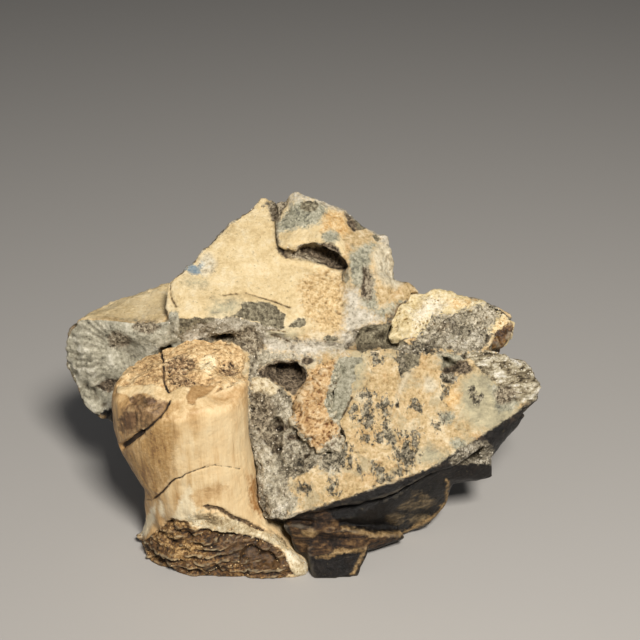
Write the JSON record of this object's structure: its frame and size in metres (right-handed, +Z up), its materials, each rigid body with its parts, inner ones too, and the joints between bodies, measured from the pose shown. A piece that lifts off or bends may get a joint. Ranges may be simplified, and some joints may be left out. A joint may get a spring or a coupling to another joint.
{
  "type": "fossil ichthyosaur bone in its stone",
  "caption": "Stout hourglass limb bone of a fossil marine reptile, set with smaller bones in a broken block of dark limestone.",
  "frame": {"origin": "centre of the specimen's footprint box, on the surface it rests on", "axes": "+Z up as it rests, +X to the right of the side that shows the limb bone, +Y to its back"},
  "size_m": [0.1524, 0.085, 0.1011],
  "materials": {
    "matrix_stone": "broken grey limestone with a tan weathered coat",
    "cortical_bone": "smooth tan fossil bone, satin",
    "spongy_bone": "broken porous fossil bone",
    "cream_bone": "pale porous fossil bone"
  },
  "bodies": {
    "root": {"matrix": "matrix_stone", "limb_bone": "cortical_bone", "bone_fragment": "spongy_bone", "small_bone": "cream_bone"}
  },
  "joints": []
}
